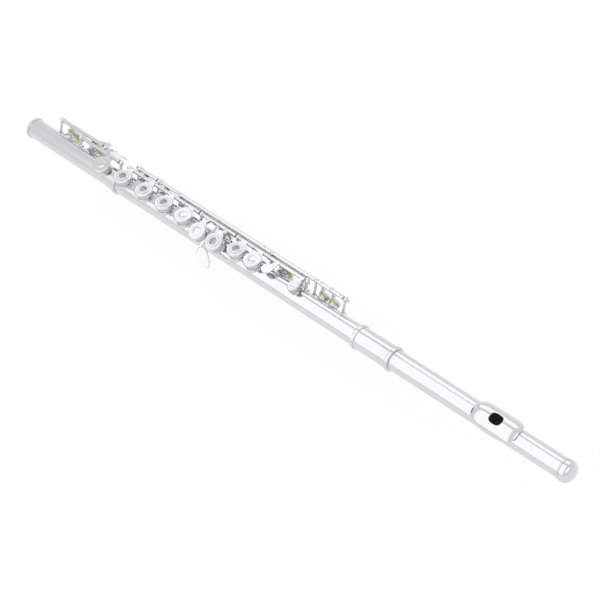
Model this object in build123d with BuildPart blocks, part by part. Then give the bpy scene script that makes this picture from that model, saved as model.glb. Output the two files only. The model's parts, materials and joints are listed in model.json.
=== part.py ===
"""Concert flute with a C foot, open-hole keys and offset G keys.

+X runs along the tube from the open foot end to the crown, +Z is up through the
top row of keys, and +Y is the player's side, where the rods are. The origin is
the centre of the foot's open end. All sizes are in millimetres.
"""

import os
from math import cos, radians, sin

from build123d import *

# Tube
TUBE_R = 9.95
BORE_R = 9.5
FOOT_END = 130.0
SOCKET_START = 117.0
SOCKET_R = 10.5
TENON_GAP = 0.3
BODY_END = 444.0
BARREL_START = 438.0
BARREL_END = 481.0
BARREL_R = 10.8
SLIP_BORE_R = 9.98
RING_R = 12.0
END_RING_R = 10.9
FOOT_RING_R = 11.8

# Head joint
HEAD_START = 444.6
HEAD_R = 9.93
HEAD_CROWN_END = 662.0
HEAD_CROWN_R = 9.4
HEAD_WALL = 0.45
TAPER_START = 482.0
BLOW_X = 595.0
BLOW_LENGTH = 12.2
BLOW_WIDTH = 10.4
RISER_WALL = 1.6
PLATE_R = 11.3
PLATE_RISE = 2.5
PLATE_WALL = 1.0
PLATE_HALF_ANGLE = 75.0
PLATE_LENGTH = 46.5
PLATE_SHIFT = 0.3
PLATE_CORNER = 6.5
CROWN_END = 673.5
CROWN_R = 9.9
DOME_START = 664.4
DOME_R = 10.3
STOPPER_FACE = BLOW_X + 17.0
CORK_LENGTH = 16.0
SCREW_R = 2.0
RUNNING_GAP = 0.05

# Tone holes and pads, measured outwards from the tube's axis
RIM_H = 12.4
CHIMNEY_WALL = 0.5
CHIMNEY_ROOT = 4.0
PAD_GAP = 0.03
CUP_FLOOR_H = 13.4
CUP_CUT_H = 10.9
CUP_ROOF_H = 15.2
CUP_TOP_H = 16.2
CUP_WALL = 0.5
CUP_BEVEL = 0.5
GROOVE_DEPTH = 0.25
CUP_OVER_HOLE = 1.8
BUSHING_R = 4.4
BUSHING_WALL = 0.5
BUSHING_RIM = 1.3

# Rods: main rod, trill rod and lever rod, each as its (Y, Z) place
MAIN = (13.0, 13.0)
TRILL = (17.8, 13.8)
LEVER = (17.5, 9.2)
HINGE_R = 1.9
COLLAR_R = 2.3
COLLAR_LENGTH = 1.4
STEEL_R = 1.1
STEEL_FIT = 0.02
STEEL_OVERHANG = 2.4
HINGE_GAP = 0.04
ARM_THICKNESS = 3.0
BALL_R = 2.5
POST_R = 1.4
TALL_POST_R = 1.2
POST_PHI = 66.0
TALL_POST_PHI = 94.0
POST_ROOT = 8.0
FLANGE_R = 2.8
FLANGE_ROOT = 5.0
FLANGE_TOP = 11.2
RIB_TOP_R = 10.9
RIB_HALF_ANGLE = 10.0
SPRING_R = 0.3
SPRING_FIT = 0.03
SPRING_PLACE = (13.0, 10.4)
SPRING_LENGTH = 13.0

# How far an open key stands from its tone hole, turning about its rod
OPEN = 10.0

# Tone holes: X, angle from the top towards the player, hole radius
TOP = 0.0
SIDE = 90.0
FOOT_SIDE = 102.0
OFFSET_G = -20.5
THUMB = 104.0
G_SHARP = 97.0
HOLES = {
    "low_c": (42.0, FOOT_SIDE, 7.5),
    "c_sharp": (75.5, FOOT_SIDE, 7.5),
    "d_sharp": (107.5, TOP, 7.4),
    "d": (138.5, TOP, 7.1),
    "e": (167.9, TOP, 7.1),
    "f": (195.6, TOP, 7.1),
    "f_sharp": (221.8, TOP, 7.1),
    "lower_g": (245.9, OFFSET_G, 7.0),
    "g_sharp": (258.0, G_SHARP, 6.4),
    "upper_g": (267.8, OFFSET_G, 7.0),
    "a": (291.8, TOP, 7.0),
    "b_flat": (312.6, TOP, 7.0),
    "thumb_b": (334.0, THUMB, 6.2),
    "small_c_sharp": (363.6, TOP, 3.7),
    "d_trill": (384.6, SIDE, 3.9),
    "d_sharp_trill": (397.2, SIDE, 3.9),
}
FOOT_HOLES = ("low_c", "c_sharp", "d_sharp")
BODY_HOLES = tuple(name for name in HOLES if name not in FOOT_HOLES)

# Posts by their X, on each rod line. The two outer rods share two of them.
MAIN_RIB_POSTS = (133.5, 233.4, 281.3)
MAIN_POSTS = (368.7,)
TRILL_POSTS = (143.6, 171.5, 201.0, 321.6, 376.4, 411.5)
TRILL_GUIDES = (201.0, 321.6, 376.4)
LEVER_POSTS = (201.0, 321.6, 360.4)
RIBS = ((131.0, 238.0), (273.0, 317.0))
FOOT_MAIN_POSTS = (63.3, 122.0)
FOOT_TRILL_POSTS = (30.4, 94.7)

os.makedirs("parts", exist_ok=True)


def save(name, part):
    part.label = name
    export_step(part, f"parts/{name}.step")


def across(x):
    """Plane across the tube at x, with local (y, z)."""
    return Plane.YZ.offset(x)


def seat(name, opened=0.0, rod=MAIN):
    """Plane of a tone hole on the tube's axis, turned about the key's rod."""
    x, phi, _ = HOLES[name]
    up = (0, sin(radians(phi)), cos(radians(phi)))
    flat = Plane((x, 0, 0), x_dir=(1, 0, 0), z_dir=up)
    swing = Location((0, *rod)) * Location((0, 0, 0), (opened, 0, 0)) * Location((0, -rod[0], -rod[1]))
    return Plane(swing * flat.location)


def rod_in_seat(name, rod):
    """The rod's place (y, z) in the tone hole's own plane."""
    phi = radians(HOLES[name][1])
    return rod[0] * cos(phi) - rod[1] * sin(phi), rod[0] * sin(phi) + rod[1] * cos(phi)


def turned_profile(points, opened, rod):
    """Points (y, z) across the tube, turned about the rod."""
    a = radians(opened)
    out = []
    for y, z in points:
        dy, dz = y - rod[0], z - rod[1]
        out.append((rod[0] + dy * cos(a) - dz * sin(a), rod[1] + dy * sin(a) + dz * cos(a)))
    return out


def ring(x0, x1, outer, inner, mode=Mode.ADD):
    with BuildSketch(across(x0)) as profile:
        Circle(outer)
        Circle(inner, mode=Mode.SUBTRACT)
    extrude(profile.sketch, amount=x1 - x0, mode=mode)


def round_bar(x0, x1, radius, place=(0, 0), mode=Mode.ADD):
    with BuildSketch(across(x0)) as profile:
        with Locations(place):
            Circle(radius)
    extrude(profile.sketch, amount=x1 - x0, mode=mode)


def hinge_tube(x0, x1, rod, radius=HINGE_R):
    round_bar(x0, x1, radius, rod)
    round_bar(x0, x0 + COLLAR_LENGTH, COLLAR_R, rod)
    round_bar(x1 - COLLAR_LENGTH, x1, COLLAR_R, rod)


def side_plate(x, width, points, opened=0.0, rod=MAIN):
    """A plate that is a profile across the tube, width wide along X."""
    with BuildSketch(across(x - width / 2)) as profile:
        with BuildLine():
            Polyline(*turned_profile(points, opened, rod), close=True)
        make_face()
    extrude(profile.sketch, amount=width)


def clear_pad_space(name, plane):
    """Empty the cup's inside, and everything between it and the tone hole."""
    with BuildSketch(plane.offset(CUP_CUT_H)) as profile:
        Circle(HOLES[name][2] + CUP_OVER_HOLE - CUP_WALL)
    extrude(profile.sketch, amount=CUP_ROOF_H - CUP_CUT_H, mode=Mode.SUBTRACT)


def cup(name, plane, rod, open_hole=False, arm_low=13.6, arm_high=15.0, arm_reach=4.0):
    """Cup with its pad seat and its pointed arm to the rod."""
    radius = HOLES[name][2] + CUP_OVER_HOLE
    with BuildSketch(plane.offset(CUP_FLOOR_H)) as profile:
        Circle(radius)
    extrude(profile.sketch, amount=CUP_TOP_H - CUP_BEVEL - CUP_FLOOR_H)
    with BuildSketch(plane.offset(CUP_TOP_H - CUP_BEVEL)) as profile:
        Circle(radius)
    extrude(profile.sketch, amount=CUP_BEVEL, taper=40)
    rod_y, rod_z = rod_in_seat(name, rod)
    way = 1 if rod_y > 0 else -1
    reach = min(abs(rod_y), radius + arm_reach)
    half = radius * 0.62
    with BuildSketch(plane.offset(arm_low)) as profile:
        with BuildLine():
            Polyline(
                (-half, way * radius * 0.75),
                (half, way * radius * 0.75),
                (ARM_THICKNESS / 2, way * reach),
                (-ARM_THICKNESS / 2, way * reach),
                close=True,
            )
        make_face()
    extrude(profile.sketch, amount=arm_high - arm_low)
    side = Plane(plane.origin, x_dir=plane.y_dir, z_dir=plane.x_dir)
    with BuildSketch(side) as profile:
        with BuildLine():
            Polyline(
                (way * (radius - 1.0), arm_low),
                (way * (radius - 1.0), arm_high + 0.2),
                (rod_y, rod_z + 1.5),
                (rod_y, rod_z - 1.0),
                close=True,
            )
        make_face()
    extrude(profile.sketch, amount=ARM_THICKNESS / 2, both=True)
    clear_pad_space(name, plane)
    if open_hole:
        with BuildSketch(plane.offset(CUP_ROOF_H)) as profile:
            Circle(BUSHING_R)
        extrude(profile.sketch, amount=2.0, mode=Mode.SUBTRACT)
        with BuildSketch(plane.offset(CUP_TOP_H)) as profile:
            Circle(BUSHING_R + BUSHING_RIM)
            Circle(BUSHING_R, mode=Mode.SUBTRACT)
        extrude(profile.sketch, amount=0.35)
    elif radius > 7:
        with BuildSketch(plane.offset(CUP_TOP_H)) as profile:
            for groove in (radius * 0.66, radius * 0.36):
                Circle(groove)
                Circle(groove - 0.5, mode=Mode.SUBTRACT)
        extrude(profile.sketch, amount=-GROOVE_DEPTH, mode=Mode.SUBTRACT)


def bushing(plane):
    """Ring that lines the open hole and holds the pad."""
    with BuildSketch(plane.offset(RIM_H + 0.3)) as profile:
        Circle(BUSHING_R - 0.1)
        Circle(BUSHING_R - 0.1 - BUSHING_WALL, mode=Mode.SUBTRACT)
    extrude(profile.sketch, amount=CUP_TOP_H - RIM_H - 0.1)


def bore_hinge(x0, x1, rod, radius=STEEL_R):
    round_bar(x0 - 1, x1 + 1, radius + HINGE_GAP, rod, mode=Mode.SUBTRACT)


def save_pad(name, plane, open_hole=False):
    """Felt pad, flush with the cup's roof and just above the tone hole's rim."""
    radius = HOLES[name][2] + CUP_OVER_HOLE - CUP_WALL
    with BuildPart() as pad:
        with BuildSketch(plane.offset(RIM_H + PAD_GAP)) as profile:
            Circle(radius)
            if open_hole:
                Circle(BUSHING_R, mode=Mode.SUBTRACT)
        extrude(profile.sketch, amount=CUP_ROOF_H - RIM_H - PAD_GAP)
    save(f"{name}_pad", pad.part)


def simple_key(name, x0, x1, opened, open_hole=False, rod=MAIN):
    """A cup on its own stretch of hinge tube."""
    plane = seat(name, opened, rod)
    with BuildPart() as key:
        hinge_tube(x0, x1, rod)
        cup(name, plane, rod, open_hole)
        bore_hinge(x0, x1, rod)
        if open_hole:
            bushing(plane)
    save(f"{name}_key", key.part)
    save_pad(name, plane, open_hole)


def chimneys(names):
    for name in names:
        with BuildSketch(seat(name).offset(CHIMNEY_ROOT)) as profile:
            Circle(HOLES[name][2] + CHIMNEY_WALL)
        extrude(profile.sketch, amount=RIM_H - CHIMNEY_ROOT)


def open_chimneys(names):
    for name in names:
        with BuildSketch(seat(name)) as profile:
            Circle(HOLES[name][2])
        extrude(profile.sketch, amount=RIM_H + 1.0, mode=Mode.SUBTRACT)


def post_shaft(x, ball, phi, radius, mode=Mode.ADD):
    """Leaning shaft from inside the tube wall towards the ball that holds the rod."""
    base = (POST_ROOT * sin(radians(phi)), POST_ROOT * cos(radians(phi)))
    lean = Vector(0, ball[0] - base[0], ball[1] - base[1])
    with BuildSketch(Plane((x, *base), x_dir=(1, 0, 0), z_dir=lean)) as profile:
        Circle(radius)
    extrude(profile.sketch, amount=lean.length, mode=mode)


def post(x, ball, phi=POST_PHI, radius=POST_R):
    post_shaft(x, ball, phi, radius)
    with Locations((x, *ball)):
        Sphere(BALL_R, rotation=(0, 90, 0))


def post_flange(x, phi=POST_PHI):
    out = (0, sin(radians(phi)), cos(radians(phi)))
    with BuildSketch(Plane((x, 0, 0), x_dir=(1, 0, 0), z_dir=out).offset(FLANGE_ROOT)) as profile:
        Circle(FLANGE_R)
    extrude(profile.sketch, amount=FLANGE_TOP - FLANGE_ROOT)


def spring_bar(x0, x1, radius, mode=Mode.ADD):
    round_bar(x0, x1, radius, SPRING_PLACE, mode)


# Foot joint
with BuildPart() as foot_tube:
    round_bar(0, SOCKET_START, TUBE_R)
    round_bar(SOCKET_START - 0.8, FOOT_END, SOCKET_R)
    chimneys(FOOT_HOLES)
    round_bar(-1, SOCKET_START, BORE_R, mode=Mode.SUBTRACT)
    round_bar(SOCKET_START, FOOT_END + 1, SLIP_BORE_R, mode=Mode.SUBTRACT)
    open_chimneys(FOOT_HOLES)
save("foot_tube", foot_tube.part)

with BuildPart() as foot_end_ring:
    ring(0, 2.6, END_RING_R, TUBE_R)
    fillet(foot_end_ring.edges().filter_by(GeomType.CIRCLE).sort_by(SortBy.RADIUS)[-2:], 0.5)
save("foot_end_ring", foot_end_ring.part)

with BuildPart() as foot_socket_ring:
    ring(126.4, FOOT_END, FOOT_RING_R, SOCKET_R)
    fillet(foot_socket_ring.edges().filter_by(GeomType.CIRCLE).sort_by(SortBy.RADIUS)[-2:], 0.6)
save("foot_socket_ring", foot_socket_ring.part)

FOOT_SPRINGS = ((61.0, 61.0 + SPRING_LENGTH), (124.0 - SPRING_LENGTH, 124.0))
with BuildPart() as foot_posts:
    for x in FOOT_MAIN_POSTS:
        post(x, MAIN)
        post_flange(x)
    for x in FOOT_TRILL_POSTS:
        post(x, TRILL, TALL_POST_PHI, TALL_POST_R)
        post_flange(x, TALL_POST_PHI)
    round_bar(20, SOCKET_START - 0.8, TUBE_R, mode=Mode.SUBTRACT)
    round_bar(SOCKET_START - 0.8, FOOT_END, SOCKET_R, mode=Mode.SUBTRACT)
    round_bar(FOOT_MAIN_POSTS[0] - 4, FOOT_MAIN_POSTS[1] + 4, STEEL_R + STEEL_FIT, MAIN, Mode.SUBTRACT)
    round_bar(FOOT_TRILL_POSTS[0] - 4, FOOT_TRILL_POSTS[1] + 4, STEEL_R + STEEL_FIT, TRILL, Mode.SUBTRACT)
    for x0, x1 in FOOT_SPRINGS:
        spring_bar(x0, x1, SPRING_R + SPRING_FIT, Mode.SUBTRACT)
save("foot_posts", foot_posts.part)

with BuildPart() as foot_steels:
    for (x0, x1), place in ((FOOT_MAIN_POSTS, MAIN), (FOOT_TRILL_POSTS, TRILL)):
        round_bar(x0 - STEEL_OVERHANG, x1 + STEEL_OVERHANG, STEEL_R, place)
save("foot_rod_steels", foot_steels.part)

with BuildPart() as foot_springs:
    for x0, x1 in FOOT_SPRINGS:
        spring_bar(x0, x1, SPRING_R)
save("foot_needle_springs", foot_springs.part)

# The little finger's touches slope down on the player's side of the rods
TOUCH_SLOPE = 62.0
ROLLER_X, ROLLER_Y, ROLLER_Z = 89.4, 19.9, 10.6
ROLLER_R = 1.9
ROLLER_LENGTH = 7.0
LOW_C_ARM = ((17.8, 15.0), (20.4, 13.4), (24.4, 3.0), (23.0, 2.4), (19.2, 11.6), (17.8, 12.2))
C_SHARP_ARM = ((13.0, 14.9), (18.6, 13.2), (21.9, 4.4), (20.5, 3.8), (17.4, 11.8), (13.0, 12.9))
D_SHARP_ARM = ((13.0, 14.6), (19.4, 13.2), (22.6, 4.6), (21.2, 4.0), (18.4, 11.8), (13.0, 12.8))


def roller_plane(way):
    """Plane across the roller's axle, way along it, turned with the open low C key."""
    down = radians(TOUCH_SLOPE)
    y, z = ROLLER_Y + way * cos(down), ROLLER_Z - way * sin(down)
    flat = Plane((ROLLER_X, y, z), x_dir=(1, 0, 0), z_dir=(0, cos(down), -sin(down)))
    swing = Location((0, *TRILL)) * Location((0, 0, 0), (OPEN, 0, 0)) * Location((0, -TRILL[0], -TRILL[1]))
    return Plane(swing * flat.location)


low_c_seat = seat("low_c", OPEN, TRILL)
with BuildPart() as low_c_key:
    hinge_tube(33.1, 92.0, TRILL)
    cup("low_c", low_c_seat, TRILL)
    side_plate(85.6, 2.4, LOW_C_ARM, OPEN, TRILL)
    for way in (-1.2, ROLLER_LENGTH + 0.2):
        with BuildSketch(roller_plane(way)):
            with Locations((-1.2, 0)):
                Rectangle(5.2, 2.6)
        extrude(amount=1.0)
    with BuildSketch(roller_plane(-3.0)):
        Circle(0.65)
    extrude(amount=ROLLER_LENGTH + 6.0, mode=Mode.SUBTRACT)
    bore_hinge(33.1, 92.0, TRILL)
save("low_c_key", low_c_key.part)
save_pad("low_c", low_c_seat)

with BuildPart() as low_c_roller:
    with BuildSketch(roller_plane(0)):
        Circle(ROLLER_R)
    extrude(amount=ROLLER_LENGTH)
    with BuildSketch(roller_plane(-1.1)):
        Circle(0.6)
    extrude(amount=ROLLER_LENGTH + 2.2)
save("low_c_roller", low_c_roller.part)

c_sharp_seat = seat("c_sharp", OPEN)
with BuildPart() as c_sharp_key:
    hinge_tube(66.0, 103.0, MAIN)
    cup("c_sharp", c_sharp_seat, MAIN)
    side_plate(100.2, 5.0, C_SHARP_ARM, OPEN)
    bore_hinge(66.0, 103.0, MAIN)
save("c_sharp_key", c_sharp_key.part)
save_pad("c_sharp", c_sharp_seat)

with BuildPart() as d_sharp_key:
    hinge_tube(103.2, 119.3, MAIN)
    cup("d_sharp", seat("d_sharp"), MAIN)
    side_plate(110.4, 12.0, D_SHARP_ARM)
    bore_hinge(103.2, 119.3, MAIN)
save("d_sharp_key", d_sharp_key.part)
save_pad("d_sharp", seat("d_sharp"))

# Middle joint
with BuildPart() as body_tube:
    round_bar(SOCKET_START + TENON_GAP, BODY_END, TUBE_R)
    chimneys(BODY_HOLES)
    round_bar(SOCKET_START, BODY_END + 1, BORE_R, mode=Mode.SUBTRACT)
    open_chimneys(BODY_HOLES)
save("body_tube", body_tube.part)

with BuildPart() as barrel:
    ring(BARREL_START, BARREL_END, BARREL_R, SLIP_BORE_R)
save("barrel", barrel.part)

with BuildPart() as barrel_rings:
    ring(BARREL_START, BARREL_START + 3.4, RING_R, BARREL_R)
    ring(BARREL_END - 4.0, BARREL_END, RING_R, BARREL_R)
    rim_edges = barrel_rings.edges().filter_by(GeomType.CIRCLE).filter_by(lambda e: e.radius > 11.5)
    fillet(rim_edges, 0.8)
save("barrel_rings", barrel_rings.part)

with BuildPart() as body_ribs:
    for x0, x1 in RIBS:
        with BuildSketch(across(x0)):
            with BuildLine():
                inner = CenterArc((0, 0), TUBE_R, 90 - POST_PHI - RIB_HALF_ANGLE, 2 * RIB_HALF_ANGLE)
                outer = CenterArc((0, 0), RIB_TOP_R, 90 - POST_PHI - RIB_HALF_ANGLE, 2 * RIB_HALF_ANGLE)
                Line(inner @ 0, outer @ 0)
                Line(inner @ 1, outer @ 1)
            make_face()
        extrude(amount=x1 - x0)
    for x in TRILL_POSTS[:3]:
        post_shaft(x, TRILL, TALL_POST_PHI, TALL_POST_R + 0.05, Mode.SUBTRACT)
        post_shaft(x, LEVER, TALL_POST_PHI, TALL_POST_R + 0.05, Mode.SUBTRACT)
save("body_ribs", body_ribs.part)

BODY_SPRINGS = tuple(
    (x - 2.6, x + SPRING_LENGTH) for x in MAIN_RIB_POSTS
) + ((MAIN_POSTS[0] - SPRING_LENGTH, MAIN_POSTS[0] + 2.6),)
with BuildPart() as body_posts:
    for x in MAIN_RIB_POSTS:
        post(x, MAIN)
    round_bar(120, 430, RIB_TOP_R, mode=Mode.SUBTRACT)
    for x in MAIN_POSTS:
        post(x, MAIN)
        post_flange(x)
    for line, ball in ((TRILL_POSTS, TRILL), (LEVER_POSTS, LEVER)):
        for x in line:
            post(x, ball, TALL_POST_PHI, TALL_POST_R)
            post_flange(x, TALL_POST_PHI)
    round_bar(120, 430, TUBE_R, mode=Mode.SUBTRACT)
    round_bar(125, 375, STEEL_R + STEEL_FIT, MAIN, Mode.SUBTRACT)
    round_bar(195, 367, STEEL_R + STEEL_FIT, LEVER, Mode.SUBTRACT)
    round_bar(137, 418, STEEL_R + STEEL_FIT, TRILL, Mode.SUBTRACT)
    for x in TRILL_GUIDES:
        round_bar(x - 4, x + 4, HINGE_R + 0.06, TRILL, Mode.SUBTRACT)
    for x0, x1 in BODY_SPRINGS:
        spring_bar(x0, x1, SPRING_R + SPRING_FIT, Mode.SUBTRACT)
save("body_posts", body_posts.part)

with BuildPart() as body_steels:
    main_ends = list(MAIN_RIB_POSTS + MAIN_POSTS)
    main_ends[0] -= STEEL_OVERHANG
    main_ends[-1] += STEEL_OVERHANG
    for ends, place in ((main_ends, MAIN), (LEVER_POSTS, LEVER)):
        for left, right in zip(ends, ends[1:]):
            round_bar(left + 0.05, right - 0.05, STEEL_R, place)
save("body_rod_steels", body_steels.part)

with BuildPart() as pivot_screws:
    for x, way in ((TRILL_POSTS[0], -1), (TRILL_POSTS[-1], 1)):
        inner, face, head = x - 0.2 * way, x + STEEL_OVERHANG * way, x + 3.4 * way
        round_bar(min(inner, face), max(inner, face), STEEL_R, TRILL)
        round_bar(min(face, head), max(face, head), 1.6, TRILL)
save("pivot_screws", pivot_screws.part)

with BuildPart() as body_springs:
    for x0, x1 in BODY_SPRINGS:
        spring_bar(x0, x1, SPRING_R)
save("body_needle_springs", body_springs.part)

# Keys of the right hand, the G keys and the left hand on the main rod
simple_key("d", 136.2, 153.4, -OPEN, open_hole=True)
simple_key("e", 153.6, 182.6, -OPEN, open_hole=True)
simple_key("f", 182.8, 210.4, -OPEN, open_hole=True)
simple_key("f_sharp", 210.6, 230.7, -OPEN)
simple_key("lower_g", 236.1, 251.8, -OPEN)
simple_key("upper_g", 264.2, 278.6, -OPEN, open_hole=True)
simple_key("a", 284.0, 302.0, -OPEN, open_hole=True)
simple_key("b_flat", 302.2, 321.4, -OPEN)

# G sharp key: closed cup on the player's side, long lever to the other side
SPATULA = Plane((266.0, -20.0, 8.4), x_dir=(0.80, -0.45, -0.40), z_dir=(0.2, -0.55, 0.81))
G_SHARP_ARM = (
    (13.0, 14.6), (7.0, 14.8), (0.0, 15.2), (-8.0, 14.6), (-13.5, 13.0), (-17.5, 11.6),
    (-17.0, 10.4), (-13.0, 11.6), (-8.0, 13.2), (0.0, 13.8), (7.0, 13.4), (13.0, 12.4),
)
with BuildPart() as g_sharp_key:
    hinge_tube(252.0, 264.0, MAIN)
    cup("g_sharp", seat("g_sharp"), MAIN, arm_low=12.95, arm_high=13.9, arm_reach=1.5)
    side_plate(257.2, 2.4, G_SHARP_ARM)
    with BuildSketch(SPATULA):
        Ellipse(10.0, 4.6)
    extrude(amount=0.7, both=True)
    bore_hinge(252.0, 264.0, MAIN)
save("g_sharp_key", g_sharp_key.part)
save_pad("g_sharp", seat("g_sharp"))

# Left index key: teardrop touch at one end, small C sharp cup at the other
c_seat = seat("small_c_sharp", -OPEN)
touch_plane = seat("small_c_sharp", -OPEN).offset(13.4)
with BuildPart() as c_key:
    hinge_tube(321.6, 366.0, MAIN)
    cup("small_c_sharp", c_seat, MAIN)
    with BuildSketch(touch_plane):
        with BuildLine():
            Polyline((-38.6, -1.6), (-31.0, 13.0), (-28.4, 13.0), (-28.6, 1.0), close=True)
        make_face()
        with Locations((-33.4, 1.2)):
            Circle(5.4)
    extrude(amount=1.3)
    bore_hinge(321.6, 366.0, MAIN)
save("small_c_sharp_key", c_key.part)
save_pad("small_c_sharp", c_seat)

# Thumb keys on the lever rod, pressed from below
THUMB_PADDLE = (
    (16.4, -5.0), (16.0, -9.0), (13.6, -13.6), (9.0, -16.6), (2.0, -17.8),
    (2.0, -16.5), (8.4, -15.3), (12.4, -12.6), (14.6, -8.6), (15.0, -5.0),
)
thumb_seat = seat("thumb_b", OPEN, LEVER)
with BuildPart() as thumb_b_key:
    hinge_tube(324.2, 343.4, LEVER)
    cup("thumb_b", thumb_seat, LEVER)
    side_plate(334.0, 10.0, THUMB_PADDLE, OPEN, LEVER)
    clear_pad_space("thumb_b", thumb_seat)
    bore_hinge(324.2, 343.4, LEVER)
save("thumb_b_key", thumb_b_key.part)
save_pad("thumb_b", thumb_seat)

THUMB_LEVER_ARM = (
    (18.8, 9.2), (19.4, 2.0), (17.0, -8.0), (12.6, -14.4), (4.0, -17.6),
    (4.0, -16.2), (11.6, -13.2), (15.6, -7.4), (17.8, 2.0), (16.6, 9.2),
)
with BuildPart() as thumb_lever:
    hinge_tube(343.6, 357.6, LEVER)
    side_plate(350.0, 8.0, THUMB_LEVER_ARM, OPEN, LEVER)
    bore_hinge(343.6, 357.6, LEVER)
save("thumb_b_flat_lever", thumb_lever.part)

# Side B flat lever: passes under the main rod, its touch between two cups
LEVER_TOUCH = (
    (17.2, 10.6), (12.5, 10.2), (7.0, 12.4), (-4.5, 13.8),
    (-4.5, 12.5), (7.0, 11.1), (12.2, 8.9), (17.2, 7.9),
)
with BuildPart() as side_lever:
    hinge_tube(203.7, 318.9, LEVER)
    side_plate(208.6, 4.6, LEVER_TOUCH, 0, LEVER)
    bore_hinge(203.7, 318.9, LEVER)
save("b_flat_side_lever", side_lever.part)

# Trill keys: one tube and, through it, one long spindle
TRILL_TOUCH = (
    (17.0, 13.8), (15.2, 10.6), (12.5, 10.2), (7.0, 12.6), (-4.5, 13.9),
    (-4.5, 12.6), (7.0, 11.3), (12.2, 8.9), (16.2, 9.0), (18.8, 12.6),
)
HOOK_TOP_H = 18.4
HOOK_R = 0.45
HOOK_START = 1.2
SPINDLE_R = 1.05


def hook(x):
    """Spring hook that stands on the trill rod."""
    with BuildSketch(Plane.XY.offset(TRILL[1] + HOOK_START)) as profile:
        with Locations((x, TRILL[0])):
            Circle(HOOK_R)
    extrude(profile.sketch, amount=HOOK_TOP_H - TRILL[1] - HOOK_START)


with BuildPart() as d_trill_key:
    hinge_tube(174.4, 393.2, TRILL)
    cup("d_trill", seat("d_trill"), TRILL)
    side_plate(181.7, 6.2, TRILL_TOUCH, 0, TRILL)
    hook(312.0)
    hook(383.0)
    round_bar(173, 394.5, SPINDLE_R + HINGE_GAP, TRILL, Mode.SUBTRACT)
save("d_trill_key", d_trill_key.part)
save_pad("d_trill", seat("d_trill"))

with BuildPart() as d_sharp_trill_key:
    round_bar(TRILL_POSTS[0] + 0.3, TRILL_POSTS[-1] - 0.3, SPINDLE_R, TRILL)
    hinge_tube(146.3, 168.8, TRILL)
    hinge_tube(393.6, 408.8, TRILL)
    cup("d_sharp_trill", seat("d_sharp_trill"), TRILL)
    side_plate(153.2, 6.6, TRILL_TOUCH, 0, TRILL)
    hook(406.0)
save("d_sharp_trill_key", d_sharp_trill_key.part)
save_pad("d_sharp_trill", seat("d_sharp_trill"))

# Head joint


def head_radius(x):
    """Outer radius of the head tube, which narrows towards the crown."""
    if x < TAPER_START:
        return HEAD_R
    return HEAD_R + (HEAD_CROWN_R - HEAD_R) * (x - TAPER_START) / (HEAD_CROWN_END - TAPER_START)


def head_cone(inset, mode=Mode.ADD):
    """The head tube's outer shape, made smaller all round by inset."""
    with BuildSketch(Plane.XZ) as profile:
        with BuildLine():
            Polyline(
                (HEAD_START, 0),
                (HEAD_START, HEAD_R - inset),
                (TAPER_START, HEAD_R - inset),
                (HEAD_CROWN_END, HEAD_CROWN_R - inset),
                (HEAD_CROWN_END, 0),
                close=True,
            )
        make_face()
    revolve(profile.sketch, axis=Axis.X, mode=mode)


def blow_hole(extra, depth, start=8.0, mode=Mode.SUBTRACT):
    with BuildSketch(Plane.XY.offset(start)) as profile:
        with Locations((BLOW_X, 0)):
            RectangleRounded(BLOW_LENGTH + 2 * extra, BLOW_WIDTH + 2 * extra, BLOW_WIDTH * 0.42 + extra)
    extrude(profile.sketch, amount=depth, mode=mode)


with BuildPart() as head_tube:
    head_cone(0)
    head_cone(HEAD_WALL, Mode.SUBTRACT)
    blow_hole(0, 10, 0)
save("head_tube", head_tube.part)

with BuildPart() as riser:
    blow_hole(RISER_WALL, 8, 6, Mode.ADD)
    blow_hole(0, 10, 5)
    head_cone(0, Mode.SUBTRACT)
    round_bar(BLOW_X - 20, BLOW_X + 20, PLATE_R - PLATE_WALL, (0, PLATE_RISE), Mode.INTERSECT)
save("embouchure_riser", riser.part)

with BuildPart() as lip_plate:
    with BuildSketch(across(BLOW_X - PLATE_SHIFT - PLATE_LENGTH / 2)):
        with BuildLine():
            span = (90 - PLATE_HALF_ANGLE, 2 * PLATE_HALF_ANGLE)
            inner = CenterArc((0, PLATE_RISE), PLATE_R - PLATE_WALL, *span)
            outer = CenterArc((0, PLATE_RISE), PLATE_R, *span)
            Line(inner @ 0, outer @ 0)
            Line(inner @ 1, outer @ 1)
        make_face()
    extrude(amount=PLATE_LENGTH)
    blow_hole(0, 10)
    with BuildSketch(Plane.XY):
        with Locations((BLOW_X - PLATE_SHIFT, 0)):
            RectangleRounded(PLATE_LENGTH, 2 * PLATE_R, PLATE_CORNER)
    extrude(amount=20, mode=Mode.INTERSECT)
save("lip_plate", lip_plate.part)

# Stopper and crown
CROWN_PLUG_START = 655.0
SCREW_END = 668.0
CORK_START = STOPPER_FACE + 1.2
CORK_END = CORK_START + CORK_LENGTH
with BuildPart() as stopper_screw:
    round_bar(STOPPER_FACE, CORK_START, head_radius(CORK_START) - HEAD_WALL - 0.15)
    round_bar(CORK_START, SCREW_END, SCREW_R)
save("stopper_screw", stopper_screw.part)

with BuildPart() as stopper_cork:
    with BuildSketch(Plane.XZ):
        with BuildLine():
            Polyline(
                (CORK_START, SCREW_R),
                (CORK_START, head_radius(CORK_START) - HEAD_WALL - RUNNING_GAP),
                (CORK_END, head_radius(CORK_END) - HEAD_WALL - RUNNING_GAP),
                (CORK_END, SCREW_R),
                close=True,
            )
        make_face()
    revolve(axis=Axis.X)
save("stopper_cork", stopper_cork.part)

with BuildPart() as stopper_nut:
    ring(CORK_END, CORK_END + 2.4, 6.5, SCREW_R)
save("stopper_nut", stopper_nut.part)

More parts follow.
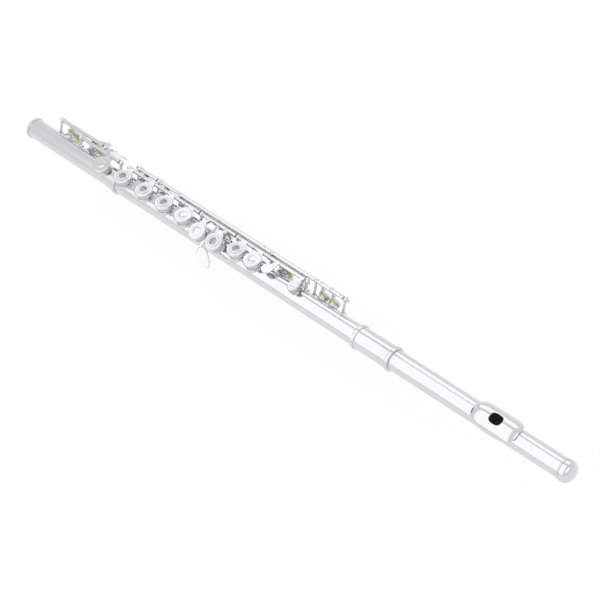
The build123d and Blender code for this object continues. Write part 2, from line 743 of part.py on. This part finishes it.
with BuildPart() as crown:
    round_bar(CROWN_PLUG_START, HEAD_CROWN_END + 1, HEAD_CROWN_R - HEAD_WALL - RUNNING_GAP)
    round_bar(HEAD_CROWN_END + 0.1, DOME_START - 0.8, CROWN_R)
    round_bar(DOME_START - 0.8, DOME_START, CROWN_R - 0.6)
    round_bar(DOME_START, CROWN_END, DOME_R)
    fillet(crown.faces().sort_by(Axis.X)[-1].edges(), 7.0)
    rims = crown.edges().filter_by(GeomType.CIRCLE).filter_by(lambda edge: edge.radius > CROWN_R - 0.1)
    fillet(rims.sort_by(Axis.X)[:2], 0.5)
    round_bar(CROWN_PLUG_START - 1, CROWN_END - 3.5, SCREW_R + RUNNING_GAP, mode=Mode.SUBTRACT)
save("crown", crown.part)
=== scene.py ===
import json
import math

import bmesh
import bpy
import numpy as np
from mathutils import Matrix, Vector

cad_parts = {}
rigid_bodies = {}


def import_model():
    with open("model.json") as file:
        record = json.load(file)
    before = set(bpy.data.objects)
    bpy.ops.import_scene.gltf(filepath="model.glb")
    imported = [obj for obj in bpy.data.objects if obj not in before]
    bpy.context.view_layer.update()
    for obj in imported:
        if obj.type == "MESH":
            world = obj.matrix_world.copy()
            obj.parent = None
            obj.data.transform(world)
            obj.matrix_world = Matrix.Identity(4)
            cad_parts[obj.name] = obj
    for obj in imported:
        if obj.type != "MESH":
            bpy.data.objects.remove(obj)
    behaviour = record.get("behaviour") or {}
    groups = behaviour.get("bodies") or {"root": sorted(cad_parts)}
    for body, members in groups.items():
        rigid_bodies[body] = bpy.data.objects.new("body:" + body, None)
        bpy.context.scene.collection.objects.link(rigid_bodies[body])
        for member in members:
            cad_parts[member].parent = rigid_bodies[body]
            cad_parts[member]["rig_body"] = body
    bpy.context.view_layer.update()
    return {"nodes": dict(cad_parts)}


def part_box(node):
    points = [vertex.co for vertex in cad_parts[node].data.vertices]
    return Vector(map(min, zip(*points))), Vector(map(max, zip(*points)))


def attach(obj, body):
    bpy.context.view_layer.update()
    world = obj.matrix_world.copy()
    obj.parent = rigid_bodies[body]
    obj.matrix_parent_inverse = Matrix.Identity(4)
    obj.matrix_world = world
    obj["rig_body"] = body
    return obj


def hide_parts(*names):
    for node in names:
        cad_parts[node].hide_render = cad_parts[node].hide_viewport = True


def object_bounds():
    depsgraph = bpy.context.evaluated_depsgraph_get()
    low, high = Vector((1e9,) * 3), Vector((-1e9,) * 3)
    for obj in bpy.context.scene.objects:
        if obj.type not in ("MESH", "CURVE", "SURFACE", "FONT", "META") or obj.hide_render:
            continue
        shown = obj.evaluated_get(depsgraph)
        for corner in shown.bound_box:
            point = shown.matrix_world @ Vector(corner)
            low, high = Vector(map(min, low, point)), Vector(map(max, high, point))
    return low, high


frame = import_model()
nodes = frame["nodes"]
mm = 0.001
print("frame loaded:", len(nodes), "nodes")


# Shader maths: a socket that adds its own nodes when it is used in a sum or a product
class Wire:
    def __init__(self, finish, socket):
        self.finish = finish
        self.socket = socket

    def maths(self, operation, first, second=0.0):
        return self.finish.node("ShaderNodeMath", {"operation": operation}, {0: first, 1: second})

    def __add__(self, other):
        return self.maths("ADD", self, other)

    def __sub__(self, other):
        return self.maths("SUBTRACT", self, other)

    def __rsub__(self, other):
        return self.maths("SUBTRACT", other, self)

    def __mul__(self, other):
        return self.maths("MULTIPLY", self, other)

    def __pow__(self, other):
        return self.maths("POWER", self, other)

    def __lt__(self, other):
        return self.maths("LESS_THAN", self, other)

    __radd__ = __add__
    __rmul__ = __mul__


class Finish:
    def __init__(self, name):
        self.material = bpy.data.materials.new(name)
        self.material.use_nodes = True
        self.tree = self.material.node_tree
        self.tree.nodes.clear()

    def node(self, kind, settings=None, inputs=None, output=0):
        made = self.tree.nodes.new(kind)
        for key, value in (settings or {}).items():
            if key == "stops":
                self.setStops(made.color_ramp, value)
            else:
                setattr(made, key, value)
        for key, value in (inputs or {}).items():
            if isinstance(value, Wire):
                self.tree.links.new(value.socket, made.inputs[key])
            else:
                made.inputs[key].default_value = value
        return Wire(self, made.outputs[output])

    def setStops(self, ramp, stops):
        while len(ramp.elements) < len(stops):
            ramp.elements.new(0.5)
        for element, (place, tone) in zip(ramp.elements, stops):
            element.position = place
            element.color = (*tone, 1.0)

    def here(self, stretch=(1, 1, 1)):
        point = self.node("ShaderNodeTexCoord", output="Object")
        return self.node("ShaderNodeMapping", {}, {"Vector": point, "Scale": stretch})

    def noise(self, size, stretch=(1, 1, 1), detail=4.0):
        inputs = {"Vector": self.here(stretch), "Scale": 1 / (size * mm), "Detail": detail}
        return self.node("ShaderNodeTexNoise", {}, inputs)

    def ramp(self, factor, stops):
        return self.node("ShaderNodeValToRGB", {"stops": stops}, {"Fac": factor})

    def mix(self, factor, low, high):
        tones = {key: tone if isinstance(tone, Wire) else (*tone, 1) for key, tone in ((6, low), (7, high))}
        return self.node("ShaderNodeMix", {"data_type": "RGBA"}, {0: factor, **tones}, output=2)

    def bump(self, height, strength, depth):
        inputs = {"Height": height, "Strength": strength, "Distance": depth * mm}
        return self.node("ShaderNodeBump", {}, inputs)

    def close(self, **inputs):
        sockets = {key.replace("_", " "): value for key, value in inputs.items()}
        shader = self.node("ShaderNodeBsdfPrincipled", {}, sockets)
        out = self.tree.nodes.new("ShaderNodeOutputMaterial")
        self.tree.links.new(shader.socket, out.inputs["Surface"])
        return self.material


silverLook = {
    "tone": (0.68, 0.68, 0.71),
    "tarnish": (0.62, 0.61, 0.60),
    "tarnishShare": 0.9,
    "roughness": 0.10,
    "smudges": 0.10,
    "lineRoughness": 0.04,
    "cloudSize": 26,
    "smudgeSize": 7,
    "lineSize": 0.22,
    "patchiness": 3.0,  # higher leaves fewer, sharper patches
    "dullness": 0.25,  # extra roughness inside the bore
    "metalLost": 0.9,  # share of the metal look that the inside of the bore loses
}
# Painted light and shade inside the tubes. Body: painted pale grey and made to glow, for light that comes
# in by the holes
bodyBorePaintedLight = {"tone": (0.80, 0.80, 0.84), "glow": (0.17, 0.17, 0.18), "radius": 9.6}
# Head: painted near-black with a faint dark glow, as painted shade inside the tube
headBorePaintedShade = {"tone": (0.045, 0.034, 0.028), "glow": (0.012, 0.008, 0.006), "radius": 9.3}


def silver(name, polish=0.0, grain=(0.06, 1, 1), bore=None):
    look = silverLook
    f = Finish(name)
    clouds = f.noise(look["cloudSize"], detail=3)
    smudges = f.noise(look["smudgeSize"], detail=6)
    lines = f.noise(look["lineSize"], grain, detail=2)
    patches = clouds ** look["patchiness"] * look["tarnishShare"]
    tone = f.mix(patches, look["tone"], look["tarnish"])
    marks = smudges ** look["patchiness"] * look["smudges"]
    roughness = look["roughness"] - polish + marks + lines * look["lineRoughness"]
    metallic = 1.0
    glow = {}
    if bore:
        # Painted light and shade: inside the bore radius the silver takes the bore's painted tone and glow,
        # and becomes duller and less metallic
        axes = [f.node("ShaderNodeSeparateXYZ", {}, {0: f.here()}, output=k) for k in (1, 2)]
        inside = (axes[0] ** 2.0 + axes[1] ** 2.0) < (bore["radius"] * mm) ** 2
        tone = f.mix(inside, tone, bore["tone"])
        roughness = roughness + inside * look["dullness"]
        metallic = 1 - inside * look["metalLost"]
        glow = {"Emission_Color": f.mix(inside, (0, 0, 0), bore["glow"]), "Emission_Strength": 1.0}
    bump = f.bump(lines * 0.5 + smudges, 0.05, 0.05)
    return f.close(Base_Color=tone, Metallic=metallic, Roughness=roughness, Normal=bump, **glow)


def rodSteel():
    f = Finish("rod_steel")
    turned = f.noise(0.12, (1, 0.05, 0.05), detail=2)
    tone = f.mix(turned, (0.52, 0.52, 0.54), (0.66, 0.66, 0.67))
    bump = f.bump(turned, 0.1, 0.02)
    return f.close(Base_Color=tone, Metallic=1.0, Roughness=0.2 + turned * 0.15, Normal=bump)


def springBronze():
    f = Finish("spring_bronze")
    heat = f.noise(3, (0.3, 1, 1))
    tone = f.mix(heat, (0.72, 0.45, 0.22), (0.55, 0.36, 0.25))
    return f.close(Base_Color=tone, Metallic=1.0, Roughness=0.22 + heat * 0.15)


def padSkin(name, low, high):
    f = Finish(name)
    blotch = f.noise(2.4, detail=5)
    fibre = f.noise(0.25, detail=6)
    tone = f.mix(blotch, low, high)
    bump = f.bump(fibre + blotch, 0.25, 0.08)
    coat = {"Coat_Weight": 0.5, "Coat_Roughness": 0.12}
    return f.close(Base_Color=tone, Roughness=0.32 + fibre * 0.2, Normal=bump, **coat)


def corkGrain():
    f = Finish("cork")
    flecks = f.noise(0.9, detail=8)
    stops = ((0.38, (0.16, 0.08, 0.035)), (0.5, (0.50, 0.31, 0.16)), (0.66, (0.66, 0.45, 0.26)))
    tone = f.ramp(flecks, stops)
    return f.close(Base_Color=tone, Roughness=0.75 + flecks * 0.2, Normal=f.bump(flecks, 0.7, 0.25))


# silver_body carries the painted light in the body bore, silver_head the painted shade in the head bore
silverBody = silver("silver_body", bore=bodyBorePaintedLight)
silverHead = silver("silver_head", bore=headBorePaintedShade)
silverKeys = silver("silver_keys", polish=0.03, grain=(1, 1, 1))
silverRings = silver("silver_rings", polish=0.04, grain=(1, 0.1, 0.1))
steel = rodSteel()
bronze = springBronze()
cork = corkGrain()
oliveSkin = padSkin("pad_skin_olive", (0.42, 0.37, 0.05), (0.62, 0.55, 0.14))
goldSkin = padSkin("pad_skin_gold", (0.50, 0.33, 0.07), (0.72, 0.52, 0.17))
copperSkin = padSkin("pad_skin_copper", (0.62, 0.27, 0.12), (0.80, 0.42, 0.22))
print("finishes made")


def paint(thing, material):
    if not thing.material_slots:
        thing.data.materials.append(material)
    for slot in thing.material_slots:
        slot.material = material


special = {
    "foot_tube": silverBody, "body_tube": silverBody, "barrel": silverBody,
    "head_tube": silverHead, "embouchure_riser": silverHead, "lip_plate": silverHead,
    "foot_rod_steels": steel, "body_rod_steels": steel, "pivot_screws": steel,
    "stopper_screw": steel, "stopper_nut": steel, "stopper_cork": cork,
    "foot_needle_springs": bronze, "body_needle_springs": bronze,
    "foot_end_ring": silverRings, "foot_socket_ring": silverRings, "barrel_rings": silverRings,
    "crown": silverRings,
}
for nodeName, node in nodes.items():
    paint(node, special.get(nodeName, oliveSkin if nodeName.endswith("_pad") else silverKeys))


# A new piece from a bmesh: smooth faces, a finish, and the body of the CAD node that it belongs to
def addPiece(name, form, material, node, standsFor=True):
    bmesh.ops.remove_doubles(form, verts=form.verts, dist=0.002 * mm)
    bmesh.ops.recalc_face_normals(form, faces=form.faces)
    mesh = bpy.data.meshes.new(name)
    form.to_mesh(mesh)
    form.free()
    mesh.shade_smooth()
    mesh.materials.append(material)
    piece = bpy.data.objects.new(name, mesh)
    bpy.context.scene.collection.objects.link(piece)
    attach(piece, nodes[node]["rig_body"])
    if standsFor:
        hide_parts(node)
    return piece


# Turns an outline of (radius, height) points about Z into a closed shape
def lathe(outline, steps, closed=True):
    form = bmesh.new()
    ring = [form.verts.new((radius * mm, 0, height * mm)) for radius, height in outline]
    pairs = zip(ring, ring[1:] + ring[:1]) if closed else zip(ring, ring[1:])
    edges = [form.edges.new(pair) for pair in pairs]
    bmesh.ops.spin(
        form, geom=ring + edges, cent=(0, 0, 0), axis=(0, 0, 1), angle=math.tau, steps=steps, use_merge=True
    )
    return form


padLook = {
    "play": 0.06,  # gap to the cup's wall
    "lip": 0.75,  # rounding of the rim
    "seatDepth": 0.16,  # groove pressed by the tone hole's rim
    "seatWidth": 0.5,
    "seatInset": 1.45,  # from the pad's edge to the groove
    "pleats": 30,
    "pleatDepth": 0.05,
    "backDrop": 0.03,  # the back lies this far inside the disc
    "rimAngles": (0, 22, 45, 68, 90),
    "groove": ((-1.6, 0.0), (-1, 0.5), (0, 1), (1, 0.5)),  # shares of seatWidth and seatDepth
    "steps": 120,
}


# The pad's own axes, from its CAD disc: centre of its seat face, way out, radius, hole and thickness
def discOf(node):
    points = np.array([vertex.co for vertex in nodes[node].data.vertices])
    centre = (points.min(0) + points.max(0)) / 2
    axis = np.linalg.eigh(np.cov((points - centre).T))[1][:, 0]
    outward = axis * np.sign(axis @ (centre * (0, 1, 1)))
    heights = (points - centre) @ outward
    reach = np.linalg.norm((points - centre) - np.outer(heights, outward), axis=1)
    hole = reach.min() if reach.min() < 0.9 * reach.max() else 0.0
    seat = Vector(centre + outward * heights.min())
    return seat, Vector(outward), reach.max() / mm, hole / mm, (heights.max() - heights.min()) / mm


def standing(place, outward):
    return Matrix.Translation(place) @ outward.to_track_quat("Z", "Y").to_matrix().to_4x4()


def padForm(radius, hole, thickness):
    look = padLook
    outer = radius - look["play"]
    back = thickness - look["backDrop"]
    lip, seat = look["lip"], outer - look["seatInset"]
    corner = [math.radians(angle) for angle in look["rimAngles"]]
    rim = [(outer - lip + lip * math.sin(a), lip - lip * math.cos(a)) for a in corner]
    groove = [(seat + look["seatWidth"] * x, look["seatDepth"] * y) for x, y in look["groove"]]
    top = [(outer, thickness - 0.2), (outer - 0.25, back)]
    if hole:
        inner = hole + look["play"]
        outline = [(inner, back), (inner, 0.25), (inner + 0.2, 0.03), (inner + 0.6, 0.0)]
        middle = seat - look["seatWidth"] * 2.4
        outline += [(middle, 0.0)] + groove + rim + top
        form = lathe(outline, look["steps"])
    else:
        outline = [(0.0, 0.02), (seat * 0.35, 0.0), (seat * 0.7, 0.0)] + groove + rim + top
        outline += [(0.0, back)]
        form = lathe(outline, look["steps"], closed=False)
    # the skin's pleats, drawn over the rim and tied on the back
    for vertex in form.verts:
        reach = math.hypot(vertex.co.x, vertex.co.y) / mm
        if reach > outer - lip:
            share = (reach - outer + lip) / lip
            ripple = math.cos(look["pleats"] * math.atan2(vertex.co.y, vertex.co.x))
            shrink = 1 - look["pleatDepth"] * share * (0.5 + 0.5 * ripple) / outer
            vertex.co.x *= shrink
            vertex.co.y *= shrink
    return form


skins = {
    "d_pad": copperSkin, "e_pad": copperSkin, "b_flat_pad": copperSkin,
    "thumb_b_pad": goldSkin, "upper_g_pad": goldSkin, "f_sharp_pad": goldSkin,
}
padNodes = [name for name in nodes if name.endswith("_pad")]
for nodeName in padNodes:
    seat, outward, radius, hole, thickness = discOf(nodeName)
    form = padForm(radius, hole, thickness)
    bmesh.ops.transform(form, matrix=standing(seat, outward), verts=form.verts)
    pad = addPiece(nodeName + "_skin", form, skins.get(nodeName, oliveSkin), nodeName)
print("pads made")

cupLook = {
    "wall": 0.53,  # from the pad's edge to the outside of the cup
    "foot": 1.0,  # bottom of the wall above the pad's face
    "top": 3.79,
    "roof": 3.35,
    "skinThickness": 0.3,
    "bushing": 4.34,
    "bushingWidth": 1.35,
    "bushingHeight": 0.36,
    "ringShare": 0.5,  # where the turned ring of a closed cup runs
    "steps": 96,
    # steps out from a radius and up from the top
    "bead": (
        (0, -0.75), (-0.08, -0.4), (-0.3, -0.12), (-0.6, 0.07), (-0.95, 0.07), (-1.2, 0),
        (-1.35, -0.1), (-1.6, -0.1),
    ),
    "gutter": ((0.75, -0.02), (0.3, -0.02), (0.12, -0.1), (0, 0)),
    "ring": ((0.7, -0.02), (0.3, 0.02), (0.1, -0.12), (-0.1, -0.12), (-0.3, 0.03)),
}


def stepsFrom(radius, height, steps):
    return [(radius + out, height + up) for out, up in steps]


# The spun face of a cup: beaded rim, shallow dish, and turned rings or the open hole's bushing
def cupForm(radius, hole):
    look = cupLook
    outer, top = radius + look["wall"], look["top"]
    outline = [(outer, look["foot"])] + stepsFrom(outer, top, look["bead"])
    if hole:
        inner, high = look["bushing"], top + look["bushingHeight"]
        edge = inner + look["bushingWidth"]
        outline += stepsFrom(edge, top, look["gutter"])
        outline += stepsFrom(edge, high, ((-0.05, -0.12), (-0.25, 0)))
        outline += stepsFrom(inner, high, ((0.25, 0), (0.05, -0.15)))
        outline += [(inner, look["roof"])]
    else:
        ring = outer * look["ringShare"]
        outline += stepsFrom(ring, top, look["ring"])
        outline += [(ring * 0.5, top + 0.08), (0.0, top + 0.1), (0.0, look["roof"])]
    inside = outer - look["skinThickness"]
    outline += [(inside, look["roof"]), (inside, look["foot"])]
    form = lathe(outline, look["steps"], closed=bool(hole))
    if not hole:
        bmesh.ops.holes_fill(form, edges=[edge for edge in form.edges if edge.is_boundary])
    return form


for nodeName in padNodes:
    seat, outward, radius, hole, thickness = discOf(nodeName)
    form = cupForm(radius, hole)
    bmesh.ops.transform(form, matrix=standing(seat, outward), verts=form.verts)
    key = nodeName.replace("_pad", "_key")
    addPiece(key + "_cup_face", form, silverKeys, key, standsFor=False)
print("cup faces made")


# How far a superellipse reaches at an angle
def reachOf(angle, half, roundness):
    across = abs(math.cos(angle) / half[0]) ** roundness + abs(math.sin(angle) / half[1]) ** roundness
    return across ** (-1 / roundness)


# A sheet of nested rings from one circle, each with its share of the way from first to last
def nestedRings(form, shares, steps):
    bmesh.ops.create_circle(form, segments=steps, radius=1.0)
    edges, fresh = list(form.edges), list(form.verts)
    rings = []
    for share in shares:
        rings += [(share, vertex, math.atan2(vertex.co.y, vertex.co.x)) for vertex in fresh]
        if share != shares[-1]:
            grown = bmesh.ops.extrude_edge_only(form, edges=edges)["geom"]
            fresh = [item for item in grown if isinstance(item, bmesh.types.BMVert)]
            edges = [item for item in grown if isinstance(item, bmesh.types.BMEdge)]
    return rings


plateLook = {
    "half": (23.6, 16.4),  # half length along the tube, half width round it
    "hole": (6.15, 5.25),
    "roundness": (3.7, 2.7),  # of the outline and of the hole
    "squareness": 1.5,  # how much squarer the outline is on the player's side
    "bend": 13.6,
    "rise": 0.18,
    "wall": 0.95,
    "tubeRadius": 9.5,
    "gapAtEnds": 0.3,
    "endPower": 5,
    "dropAtHole": 0.22,
    "edgeRound": 0.3,
    "steps": 128,
    "shares": (0.0, 0.03, 0.08, 0.16, 0.28, 0.42, 0.56, 0.7, 0.82, 0.91, 0.96, 0.985, 1.0),
}


# The lip plate: a saddle round the hole, whose ends come down towards the tube
def lipPlate():
    look = plateLook
    low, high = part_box("lip_plate")
    centre = (low.x + high.x) / 2
    riserLow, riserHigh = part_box("embouchure_riser")
    holeShift = ((riserLow.x + riserHigh.x) / 2 - centre) / mm
    landing = look["tubeRadius"] + look["gapAtEnds"] + look["wall"]
    form = bmesh.new()
    for share, vertex, angle in nestedRings(form, look["shares"], look["steps"]):
        inner = reachOf(angle, look["hole"], look["roundness"][1])
        corners = look["roundness"][0] + look["squareness"] * math.sin(angle)
        outer = reachOf(angle, look["half"], corners)
        reach = inner + (outer - inner) * share
        along, sideways = reach * math.cos(angle) + holeShift * (1 - share), reach * math.sin(angle)
        lean = sideways / look["bend"]
        sideShift, upShift = look["rise"] * math.sin(lean), look["rise"] * math.cos(lean)
        landed = math.sqrt(landing**2 - sideShift**2) - upShift
        drop = (look["bend"] - landed) * abs(along / look["half"][0]) ** look["endPower"]
        drop += look["dropAtHole"] * max(0.0, 1 - share / 0.1) ** 2
        radius = look["bend"] - drop
        upward = look["rise"] + radius * math.cos(lean)
        vertex.co = (centre + along * mm, radius * math.sin(lean) * mm, upward * mm)
    bmesh.ops.recalc_face_normals(form, faces=form.faces)
    bmesh.ops.solidify(form, geom=form.faces[:], thickness=look["wall"] * mm)
    piece = addPiece("lip_plate_form", form, silverHead, "lip_plate")
    bevel = piece.modifiers.new("edge", "BEVEL")
    bevel.width = look["edgeRound"] * mm
    bevel.segments = 3
    bevel.limit_method = "ANGLE"


lipPlate()
print("lip plate made")

leafLook = {
    "centre": (266.0, -20.0, 8.4),
    "along": (0.80, -0.45, -0.40),
    "outward": (0.20, -0.55, 0.81),
    "half": (10.6, 5.1),
    "point": 0.28,  # how much the leaf narrows towards its tip
    "roundness": 2.0,
    "steps": 96,
    "profile": (
        (0.02, -0.82), (0.9, -0.82), (0.97, -0.5), (1.0, 0.0), (0.985, 0.55), (0.94, 0.95),
        (0.88, 1.0), (0.82, 0.88), (0.5, 0.8), (0.02, 0.78),
    ),
}


# The G sharp touch: a leaf with a beaded rim and a shallow dish
def gSharpLeaf():
    look = leafLook
    form = bmesh.new()
    stations = range(len(look["profile"]))
    for station, vertex, angle in nestedRings(form, stations, look["steps"]):
        share, height = look["profile"][station]
        reach = share * reachOf(angle, look["half"], look["roundness"])
        narrow = 1 - look["point"] * math.cos(angle)
        vertex.co = (reach * math.cos(angle) * mm, reach * math.sin(angle) * narrow * mm, height * mm)
    bmesh.ops.holes_fill(form, edges=[edge for edge in form.edges if edge.is_boundary])
    outward = Vector(look["outward"]).normalized()
    along = Vector(look["along"])
    along = (along - outward * along.dot(outward)).normalized()
    turned = Matrix((along, outward.cross(along), outward)).transposed().to_4x4()
    place = Matrix.Translation(Vector(look["centre"]) * mm) @ turned
    bmesh.ops.transform(form, matrix=place, verts=form.verts)
    addPiece("g_sharp_key_leaf", form, silverKeys, "g_sharp_key", standsFor=False)


gSharpLeaf()
print("G sharp touch made")

# Studio: a pale floor, three soft lights, a grey card that the tube reflects as a line, and a dark
# card beyond the foot. Angles are in degrees from overhead towards the player, lengths in metres.
studio = {
    "floorDrop": 60,  # in mm
    "floorSize": (8, 8),
    "floorTone": 0.34,
    "floorSpeck": 0.02,
    "floorGlow": 0.62,
    "air": 0.93,
    "airTone": (0.985, 0.985, 1.0, 1),
    "lightDistance": 1.8,
}
softboxes = {
    "main_softbox": {"angle": -31, "alongX": -0.62, "size": (2.1, 4.0), "brightness": 0.52},
    "player_softbox": {"angle": 51, "alongX": -0.62, "size": (2.1, 1.0), "brightness": 0.52},
    "crown_softbox": {"angle": -8, "alongX": 2.1, "size": (1.8, 2.2), "brightness": 0.45},
}
greyCard = {"angle": 27, "distance": 1.5, "alongX": -0.6, "size": (3.4, 0.34), "tone": 0.84}
darkCard = {"place": (-1.2, -0.15, 0.3), "turn": 78, "size": (0.35, 0.9), "tone": 0.02}
low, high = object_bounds()
middle = (low + high) / 2


def floorFinish():
    f = Finish("floor_paper")
    speck = f.noise(4, detail=3)
    tone, spread = studio["floorTone"], studio["floorSpeck"]
    paper = f.mix(speck, (tone - spread,) * 3, (tone + spread,) * 3)
    glow = {"Emission_Color": (1, 1, 1, 1), "Emission_Strength": studio["floorGlow"]}
    return f.close(Base_Color=paper, Roughness=0.9, **glow)


def cardFinish(name, tone):
    glow = {"Emission_Color": (tone, tone, tone, 1), "Emission_Strength": 1.0}
    return Finish(name).close(Base_Color=(0, 0, 0, 1), Roughness=1.0, **glow)


def panel(name, size, matrix, material):
    form = bmesh.new()
    bmesh.ops.create_grid(form, x_segments=1, y_segments=1, size=0.5)
    bmesh.ops.scale(form, vec=(*size, 1), verts=form.verts)
    bmesh.ops.transform(form, matrix=matrix, verts=form.verts)
    mesh = bpy.data.meshes.new(name)
    form.to_mesh(mesh)
    form.free()
    mesh.materials.append(material)
    made = bpy.data.objects.new(name, mesh)
    bpy.context.scene.collection.objects.link(made)
    return made


def around(angle, distance, alongX):
    lean = math.radians(angle)
    place = Vector((middle.x + alongX, math.sin(lean) * distance, math.cos(lean) * distance))
    return Matrix.Translation(place) @ Matrix.Rotation(-lean, 4, "X")


floorPlace = Matrix.Translation((middle.x, middle.y, low.z - studio["floorDrop"] * mm))
panel("floor", studio["floorSize"], floorPlace, floorFinish())
world = bpy.data.worlds.new("studio_air")
bpy.context.scene.world = world
world.use_nodes = True
air = world.node_tree.nodes["Background"]
air.inputs["Color"].default_value = studio["airTone"]
air.inputs["Strength"].default_value = studio["air"]


def softbox(name, angle, alongX, size, brightness):
    lamp = bpy.data.lights.new(name, "AREA")
    lamp.shape = "RECTANGLE"
    lamp.size, lamp.size_y = size
    lamp.energy = brightness * math.pi * size[0] * size[1]
    box = bpy.data.objects.new(name, lamp)
    bpy.context.scene.collection.objects.link(box)
    box.matrix_world = around(angle, studio["lightDistance"], alongX)
    box.visible_camera = False


for name, values in softboxes.items():
    softbox(name, **values)
beyondFoot = Matrix.Translation(darkCard["place"]) @ Matrix.Rotation(math.radians(darkCard["turn"]), 4, "Y")
overTube = around(greyCard["angle"], greyCard["distance"], greyCard["alongX"])
for name, place, card in (("grey_card", overTube, greyCard), ("dark_card", beyondFoot, darkCard)):
    panel(name, card["size"], place, cardFinish(name, card["tone"])).visible_camera = False

# The camera: at azimuth 0 it looks along +Y
view = {
    "azimuth": 61.80,
    "elevation": 54.09,
    "roll": 23.65,
    "distance": 1.6137,
    "target": (0.3663, 0.0, -0.0030),
    "fieldOfView": 18.85,
}
azimuth, elevation, roll = (math.radians(view[key]) for key in ("azimuth", "elevation", "roll"))
flat = math.cos(elevation)
back = Vector((math.sin(azimuth) * flat, -math.cos(azimuth) * flat, math.sin(elevation)))
level = Vector((math.cos(azimuth), math.sin(azimuth), 0))
upright = back.cross(level)
right = math.cos(roll) * level - math.sin(roll) * upright
up = math.sin(roll) * level + math.cos(roll) * upright
camera = bpy.data.objects.new("camera", bpy.data.cameras.new("camera"))
bpy.context.scene.collection.objects.link(camera)
camera.data.angle = math.radians(view["fieldOfView"])
turned = Matrix((right, up, back)).transposed().to_4x4()
camera.matrix_world = Matrix.Translation(Vector(view["target"]) + back * view["distance"]) @ turned
bpy.context.scene.camera = camera
bpy.context.scene.view_settings.view_transform = "Standard"
